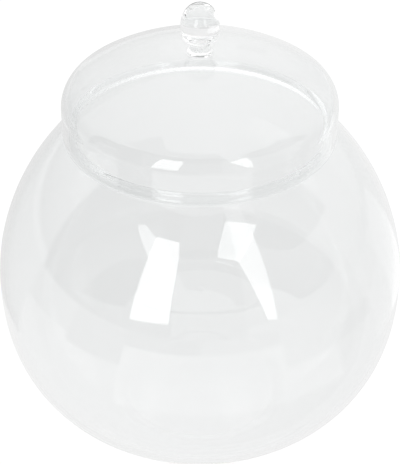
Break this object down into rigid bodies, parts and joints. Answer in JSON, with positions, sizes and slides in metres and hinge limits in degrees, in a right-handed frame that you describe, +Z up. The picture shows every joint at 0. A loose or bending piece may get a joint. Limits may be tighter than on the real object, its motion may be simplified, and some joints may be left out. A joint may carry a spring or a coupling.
{
  "type": "yarn bowl",
  "caption": "Clear blown-glass globe bowl for keeping yarn, with a loose dome-topped glass cap lid that lifts off by a glass ball knob.",
  "frame": {"origin": "centre of the base, on the surface that the bowl stands on", "axes": "+Z up along the axis of revolution, through the lid's knob; the bowl is the same all round, so +X and +Y are free"},
  "size_m": [0.2, 0.2, 0.2284],
  "materials": {
    "bowl_glass": "clear colourless blown glass, fire polished, very slightly wavy",
    "lid_glass": "clear colourless blown glass, fire polished",
    "knob_glass": "clear colourless solid glass, fire polished"
  },
  "bodies": {
    "bowl": {"glass_bowl": "bowl_glass"},
    "lid": {"lid_shell": "lid_glass", "lid_knob": "knob_glass"}
  },
  "joints": [
    {"name": "lid_lift", "type": "slide", "parent": "bowl", "child": "lid", "axis": [0, 0, 1], "range_m": [0, 0.15]}
  ]
}
